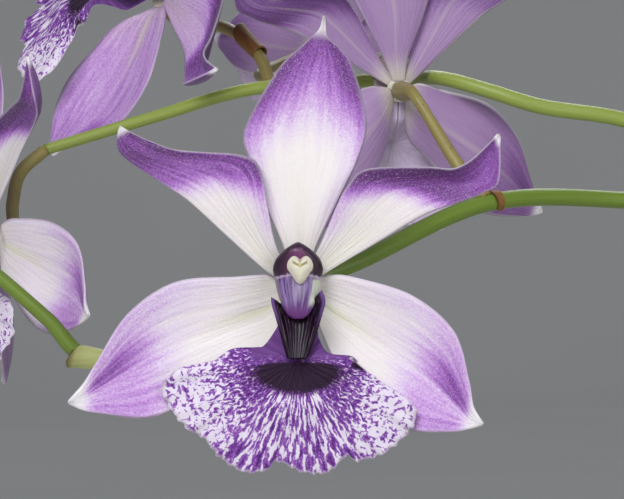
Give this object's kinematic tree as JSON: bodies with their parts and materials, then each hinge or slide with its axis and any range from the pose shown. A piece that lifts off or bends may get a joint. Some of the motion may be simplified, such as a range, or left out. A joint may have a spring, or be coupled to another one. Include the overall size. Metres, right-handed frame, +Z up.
{
  "type": "potted zygonisia orchid",
  "caption": "Flowering zygonisia orchid in a plain clay pot: arching spikes with violet and white blooms, broad-lipped, over pleated leaves and pseudobulbs in bark.",
  "frame": {"origin": "centre of the pot's foot, on the surface it stands on", "axes": "+Z up; +X to the right of a viewer who looks along +Y at the front bloom, which faces -Y"},
  "size_m": [0.498, 0.5073, 0.3985],
  "materials": {
    "pot": "matte",
    "bark": "matte",
    "pseudobulb": "satin",
    "leaf": "satin",
    "stem": "satin",
    "root": "matte",
    "tepal": "satin",
    "lip": "satin",
    "callus": "gloss",
    "column": "satin",
    "anther": "satin"
  },
  "bodies": {
    "root": {"pot": "pot", "bark_mix": "bark", "pseudobulb_1": "pseudobulb", "leaf_1_1": "leaf", "pseudobulb_2": "pseudobulb", "leaf_2_1": "leaf", "leaf_2_2": "leaf", "pseudobulb_3": "pseudobulb", "leaf_3_1": "leaf", "leaf_3_2": "leaf", "pseudobulb_4": "pseudobulb", "leaf_4_1": "leaf", "leaf_4_2": "leaf", "leaf_4_3": "leaf", "pseudobulb_5": "pseudobulb", "leaf_5_1": "leaf", "leaf_5_2": "leaf", "leaf_5_3": "leaf", "spike_1": "stem", "spike_2": "stem", "aerial_root_1": "root", "aerial_root_2": "root", "bloom_1_tepals": "tepal", "bloom_1_lip": "lip", "bloom_1_callus": "callus", "bloom_1_column": "column", "bloom_1_anther_cap": "anther", "bloom_2_tepals": "tepal", "bloom_2_lip": "lip", "bloom_2_callus": "callus", "bloom_2_column": "column", "bloom_2_anther_cap": "anther", "bloom_3_tepals": "tepal", "bloom_3_lip": "lip", "bloom_3_callus": "callus", "bloom_3_column": "column", "bloom_3_anther_cap": "anther", "bloom_4_tepals": "tepal", "bloom_4_lip": "lip", "bloom_4_callus": "callus", "bloom_4_column": "column", "bloom_4_anther_cap": "anther", "bloom_5_tepals": "tepal", "bloom_5_lip": "lip", "bloom_5_callus": "callus", "bloom_5_column": "column", "bloom_5_anther_cap": "anther"}
  },
  "joints": []
}
